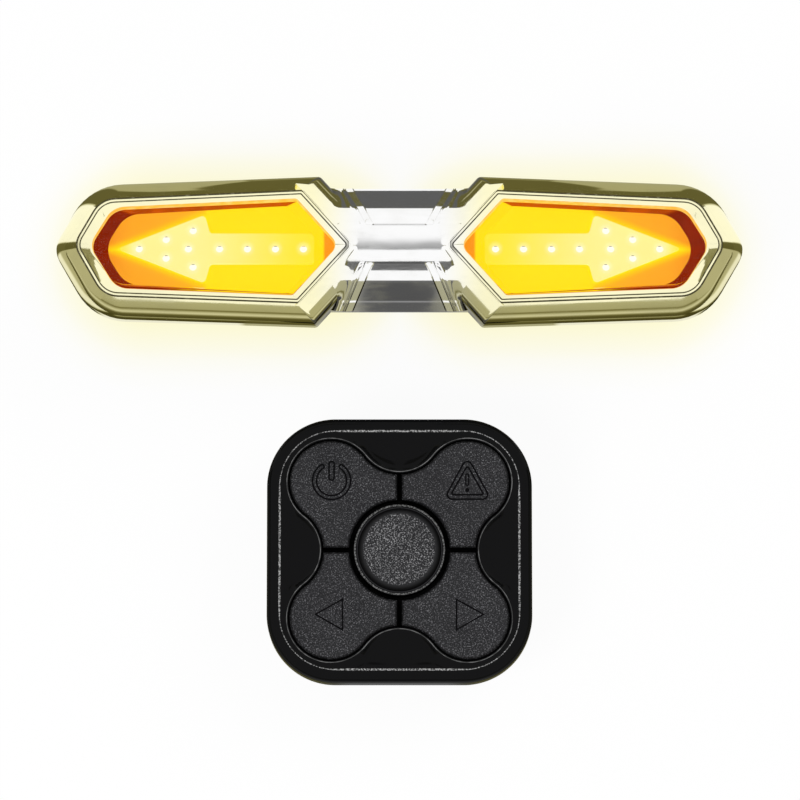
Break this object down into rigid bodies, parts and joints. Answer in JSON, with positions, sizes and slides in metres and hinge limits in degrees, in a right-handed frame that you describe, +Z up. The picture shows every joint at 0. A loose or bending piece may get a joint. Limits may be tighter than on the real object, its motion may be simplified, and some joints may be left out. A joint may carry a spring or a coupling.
{
  "type": "bicycle brake light",
  "caption": "Slim chrome-framed bicycle brake and turn-signal lamp with amber arrow windows on a slide-off seatpost bracket, with its square wireless key remote.",
  "frame": {"origin": "on the ground, below the middle of the set's bounding box", "axes": "+X along the lamp towards its right-hand window as seen from its face, +Y from the remote towards the lamp, +Z up, out of both faces"},
  "size_m": [0.13, 0.0954, 0.032],
  "materials": {
    "chrome_bezel": "bright vacuum-plated chrome on moulded plastic",
    "clear_lens": "clear polished polycarbonate",
    "amber_reflector": "amber-lit moulded reflector tray",
    "light_guide": "frosted light guide, lit from below",
    "led_emitter": "surface-mounted emitter, lit",
    "circuit_board": "green solder mask",
    "chip_black": "moulded black component body",
    "shield_can": "tinned shield can",
    "cell_pouch": "foil pouch cell",
    "socket_steel": "thin stamped steel",
    "black_plastic": "fine-textured black plastic",
    "grey_silicone": "soft grey silicone",
    "screw_steel": "small plated steel screw",
    "black_rubber": "black rubber",
    "gloss_black_shell": "polished black plastic",
    "charcoal_key": "grained charcoal silicone",
    "cell_steel": "nickel-plated coin cell"
  },
  "bodies": {
    "mount": {"mount_bracket": "black_plastic", "saddle_pad": "black_rubber"},
    "lamp": {"front_bezel": "chrome_bezel", "lens_left": "clear_lens", "lens_right": "clear_lens", "reflector_left": "amber_reflector", "reflector_right": "amber_reflector", "arrow_guide_left": "light_guide", "arrow_guide_right": "light_guide", "leds_left": "led_emitter", "leds_right": "led_emitter", "led_board": "circuit_board", "control_chip": "chip_black", "radio_module": "shield_can", "motion_sensor": "chip_black", "lithium_cell": "cell_pouch", "power_switch": "chip_black", "charge_socket": "socket_steel", "socket_tongue": "chip_black", "rear_housing": "black_plastic", "housing_gasket": "grey_silicone", "housing_screws": "screw_steel", "slide_foot": "black_plastic", "foot_screws": "screw_steel", "cover_pin": "screw_steel"},
    "power_button": {"power_button": "black_rubber"},
    "port_cover": {"port_cover": "black_rubber"},
    "remote": {"remote_top_shell": "gloss_black_shell", "remote_base_shell": "gloss_black_shell", "remote_screws": "screw_steel", "handlebar_pad": "black_rubber", "key_membrane": "grey_silicone", "key_domes": "socket_steel", "remote_board": "circuit_board", "remote_chips": "chip_black", "coin_cell": "cell_steel", "cell_clip": "socket_steel"},
    "key_power": {"key_power": "charcoal_key"},
    "key_hazard": {"key_hazard": "charcoal_key"},
    "key_left": {"key_left": "charcoal_key"},
    "key_right": {"key_right": "charcoal_key"},
    "key_centre": {"key_centre": "charcoal_key"}
  },
  "joints": [
    {"name": "lamp_release", "type": "slide", "parent": "mount", "child": "lamp", "axis": [0, 1, 0], "range_m": [0, 0.022]},
    {"name": "power_press", "type": "slide", "parent": "lamp", "child": "power_button", "axis": [0, 0, 1], "range_m": [0, 0.0005], "stiffness_N_per_m": 150, "springref_m": -0.002},
    {"name": "cover_hinge", "type": "hinge", "parent": "lamp", "child": "port_cover", "pos_m": [0.0476, 0.0338, 0.01584], "axis": [0, -1, 0], "range_deg": [0, 100]},
    {"name": "remote_lift", "type": "slide", "parent": "mount", "child": "remote", "axis": [0, 0, 1], "range_m": [0, 0.04]},
    {"name": "key_power_press", "type": "slide", "parent": "remote", "child": "key_power", "axis": [0, 0, -1], "range_m": [0, 0.0008], "stiffness_N_per_m": 150, "springref_m": -0.002},
    {"name": "key_hazard_press", "type": "slide", "parent": "remote", "child": "key_hazard", "axis": [0, 0, -1], "range_m": [0, 0.0008], "stiffness_N_per_m": 150, "springref_m": -0.002},
    {"name": "key_left_press", "type": "slide", "parent": "remote", "child": "key_left", "axis": [0, 0, -1], "range_m": [0, 0.0008], "stiffness_N_per_m": 150, "springref_m": -0.002},
    {"name": "key_right_press", "type": "slide", "parent": "remote", "child": "key_right", "axis": [0, 0, -1], "range_m": [0, 0.0008], "stiffness_N_per_m": 150, "springref_m": -0.002},
    {"name": "key_centre_press", "type": "slide", "parent": "remote", "child": "key_centre", "axis": [0, 0, -1], "range_m": [0, 0.0008], "stiffness_N_per_m": 150, "springref_m": -0.002}
  ]
}
